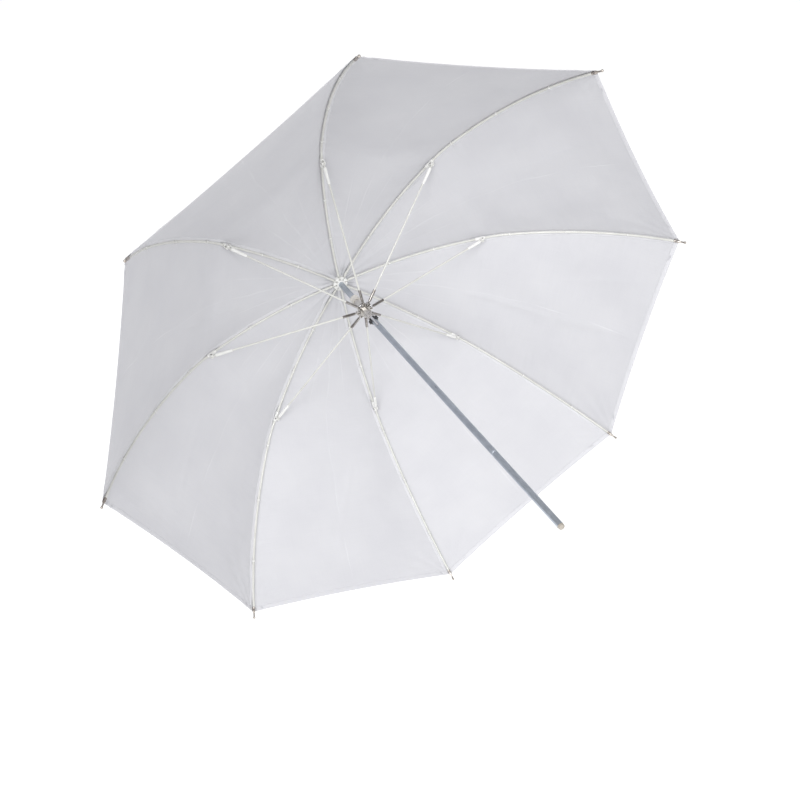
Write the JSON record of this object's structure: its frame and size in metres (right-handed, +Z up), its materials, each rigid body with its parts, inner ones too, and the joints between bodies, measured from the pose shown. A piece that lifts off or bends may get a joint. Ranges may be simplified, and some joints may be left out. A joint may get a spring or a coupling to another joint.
{
  "type": "umbrella reflector",
  "caption": "Folding white umbrella reflector with a curved ribbed canopy, for bouncing a flash held on its shaft.",
  "frame": {"origin": "centre of the shaft's clamping stretch, on the shaft's axis", "axes": "-Y along the shaft towards its free end, +Y towards the crown, +Z up, +X to the right seen along +Y"},
  "size_m": [0.8408, 0.5864, 0.8408],
  "materials": {
    "shaft": "satin",
    "plug": "satin",
    "white_plastic": "satin moulded",
    "steel_wire": "drawn",
    "runner_metal": "satin",
    "dark_metal": "dark plated",
    "black_plastic": "moulded",
    "chrome": "polished",
    "fibreglass": "resin gloss",
    "tip_metal": "nickel plated",
    "end_metal": "nickel plated",
    "canopy": "fine woven, white"
  },
  "bodies": {
    "root": {"shaft_tube": "shaft", "shaft_plug": "plug", "crown_notch": "white_plastic", "notch_ring": "steel_wire", "crown_cap": "white_plastic", "cap_washer": "white_plastic"},
    "runner": {"runner_sleeve": "runner_metal", "runner_hub": "dark_metal", "runner_collar": "white_plastic", "runner_stop": "black_plastic"},
    "catch": {"catch_leaf": "chrome"},
    "rib_1": {"rib_rod_1": "fibreglass", "rib_tip_1": "tip_metal", "rib_elbow_1": "white_plastic", "canopy_1": "canopy"},
    "stretcher_1": {"stretcher_1": "fibreglass", "stretcher_end_1": "end_metal"},
    "rib_2": {"rib_rod_2": "fibreglass", "rib_tip_2": "tip_metal", "rib_elbow_2": "white_plastic", "canopy_2": "canopy"},
    "stretcher_2": {"stretcher_2": "fibreglass", "stretcher_end_2": "end_metal"},
    "rib_3": {"rib_rod_3": "fibreglass", "rib_tip_3": "tip_metal", "rib_elbow_3": "white_plastic", "canopy_3": "canopy"},
    "stretcher_3": {"stretcher_3": "fibreglass", "stretcher_end_3": "end_metal"},
    "rib_4": {"rib_rod_4": "fibreglass", "rib_tip_4": "tip_metal", "rib_elbow_4": "white_plastic", "canopy_4": "canopy"},
    "stretcher_4": {"stretcher_4": "fibreglass", "stretcher_end_4": "end_metal"},
    "rib_5": {"rib_rod_5": "fibreglass", "rib_tip_5": "tip_metal", "rib_elbow_5": "white_plastic", "canopy_5": "canopy"},
    "stretcher_5": {"stretcher_5": "fibreglass", "stretcher_end_5": "end_metal"},
    "rib_6": {"rib_rod_6": "fibreglass", "rib_tip_6": "tip_metal", "rib_elbow_6": "white_plastic", "canopy_6": "canopy"},
    "stretcher_6": {"stretcher_6": "fibreglass", "stretcher_end_6": "end_metal"},
    "rib_7": {"rib_rod_7": "fibreglass", "rib_tip_7": "tip_metal", "rib_elbow_7": "white_plastic", "canopy_7": "canopy"},
    "stretcher_7": {"stretcher_7": "fibreglass", "stretcher_end_7": "end_metal"},
    "rib_8": {"rib_rod_8": "fibreglass", "rib_tip_8": "tip_metal", "rib_elbow_8": "white_plastic", "canopy_8": "canopy"},
    "stretcher_8": {"stretcher_8": "fibreglass", "stretcher_end_8": "end_metal"}
  },
  "joints": [
    {"name": "runner_slide", "type": "slide", "parent": "root", "child": "runner", "axis": [0, -1, 0], "range_m": [0, 0.302], "deforming": ["catch_leaf"]},
    {"name": "catch_press", "type": "slide", "parent": "root", "child": "catch", "axis": [0.5284, 0, -0.849], "range_m": [0, 0.003], "stiffness_N_per_m": 400},
    {"name": "rib_hinge_1", "type": "hinge", "parent": "root", "child": "rib_1", "pos_m": [0.00789, 0.4926, 0.00131], "axis": [0.1633, 0, -0.9866], "range_deg": [0, 56], "deforming": ["canopy_1"]},
    {"name": "stretcher_hinge_1", "type": "hinge", "parent": "rib_1", "child": "stretcher_1", "pos_m": [0.20898, 0.4538, 0.0346], "axis": [-0.1633, 0, 0.9866], "range_deg": [0, 112.68]},
    {"name": "rib_hinge_2", "type": "hinge", "parent": "root", "child": "rib_2", "pos_m": [0.00466, 0.4926, 0.00651], "axis": [0.8131, 0, -0.5821], "range_deg": [0, 56], "deforming": ["canopy_2"]},
    {"name": "stretcher_hinge_2", "type": "hinge", "parent": "rib_2", "child": "stretcher_2", "pos_m": [0.12331, 0.4538, 0.17223], "axis": [-0.8131, 0, 0.5821], "range_deg": [0, 112.68]},
    {"name": "rib_hinge_3", "type": "hinge", "parent": "root", "child": "rib_3", "pos_m": [-0.00131, 0.4926, 0.00789], "axis": [0.9866, 0, 0.1633], "range_deg": [0, 56], "deforming": ["canopy_3"]},
    {"name": "stretcher_hinge_3", "type": "hinge", "parent": "rib_3", "child": "stretcher_3", "pos_m": [-0.0346, 0.4538, 0.20898], "axis": [-0.9866, 0, -0.1633], "range_deg": [0, 112.68]},
    {"name": "rib_hinge_4", "type": "hinge", "parent": "root", "child": "rib_4", "pos_m": [-0.00651, 0.4926, 0.00466], "axis": [0.5821, 0, 0.8131], "range_deg": [0, 56], "deforming": ["canopy_4"]},
    {"name": "stretcher_hinge_4", "type": "hinge", "parent": "rib_4", "child": "stretcher_4", "pos_m": [-0.17223, 0.4538, 0.12331], "axis": [-0.5821, 0, -0.8131], "range_deg": [0, 112.68]},
    {"name": "rib_hinge_5", "type": "hinge", "parent": "root", "child": "rib_5", "pos_m": [-0.00789, 0.4926, -0.00131], "axis": [-0.1633, 0, 0.9866], "range_deg": [0, 56], "deforming": ["canopy_5"]},
    {"name": "stretcher_hinge_5", "type": "hinge", "parent": "rib_5", "child": "stretcher_5", "pos_m": [-0.20898, 0.4538, -0.0346], "axis": [0.1633, 0, -0.9866], "range_deg": [0, 112.68]},
    {"name": "rib_hinge_6", "type": "hinge", "parent": "root", "child": "rib_6", "pos_m": [-0.00466, 0.4926, -0.00651], "axis": [-0.8131, 0, 0.5821], "range_deg": [0, 56], "deforming": ["canopy_6"]},
    {"name": "stretcher_hinge_6", "type": "hinge", "parent": "rib_6", "child": "stretcher_6", "pos_m": [-0.12331, 0.4538, -0.17223], "axis": [0.8131, 0, -0.5821], "range_deg": [0, 112.68]},
    {"name": "rib_hinge_7", "type": "hinge", "parent": "root", "child": "rib_7", "pos_m": [0.00131, 0.4926, -0.00789], "axis": [-0.9866, 0, -0.1633], "range_deg": [0, 56], "deforming": ["canopy_7"]},
    {"name": "stretcher_hinge_7", "type": "hinge", "parent": "rib_7", "child": "stretcher_7", "pos_m": [0.0346, 0.4538, -0.20898], "axis": [0.9866, 0, 0.1633], "range_deg": [0, 112.68]},
    {"name": "rib_hinge_8", "type": "hinge", "parent": "root", "child": "rib_8", "pos_m": [0.00651, 0.4926, -0.00466], "axis": [-0.5821, 0, -0.8131], "range_deg": [0, 56], "deforming": ["canopy_8"]},
    {"name": "stretcher_hinge_8", "type": "hinge", "parent": "rib_8", "child": "stretcher_8", "pos_m": [0.17223, 0.4538, -0.12331], "axis": [0.5821, 0, 0.8131], "range_deg": [0, 112.68]}
  ],
  "couplings": [
    {"joint": "rib_hinge_1", "follows": "runner_slide", "rad_per_m": 3.2352},
    {"joint": "stretcher_hinge_1", "follows": "runner_slide", "rad_per_m": 6.511},
    {"joint": "rib_hinge_2", "follows": "runner_slide", "rad_per_m": 3.2352},
    {"joint": "stretcher_hinge_2", "follows": "runner_slide", "rad_per_m": 6.511},
    {"joint": "rib_hinge_3", "follows": "runner_slide", "rad_per_m": 3.2352},
    {"joint": "stretcher_hinge_3", "follows": "runner_slide", "rad_per_m": 6.511},
    {"joint": "rib_hinge_4", "follows": "runner_slide", "rad_per_m": 3.2352},
    {"joint": "stretcher_hinge_4", "follows": "runner_slide", "rad_per_m": 6.511},
    {"joint": "rib_hinge_5", "follows": "runner_slide", "rad_per_m": 3.2352},
    {"joint": "stretcher_hinge_5", "follows": "runner_slide", "rad_per_m": 6.511},
    {"joint": "rib_hinge_6", "follows": "runner_slide", "rad_per_m": 3.2352},
    {"joint": "stretcher_hinge_6", "follows": "runner_slide", "rad_per_m": 6.511},
    {"joint": "rib_hinge_7", "follows": "runner_slide", "rad_per_m": 3.2352},
    {"joint": "stretcher_hinge_7", "follows": "runner_slide", "rad_per_m": 6.511},
    {"joint": "rib_hinge_8", "follows": "runner_slide", "rad_per_m": 3.2352},
    {"joint": "stretcher_hinge_8", "follows": "runner_slide", "rad_per_m": 6.511}
  ]
}
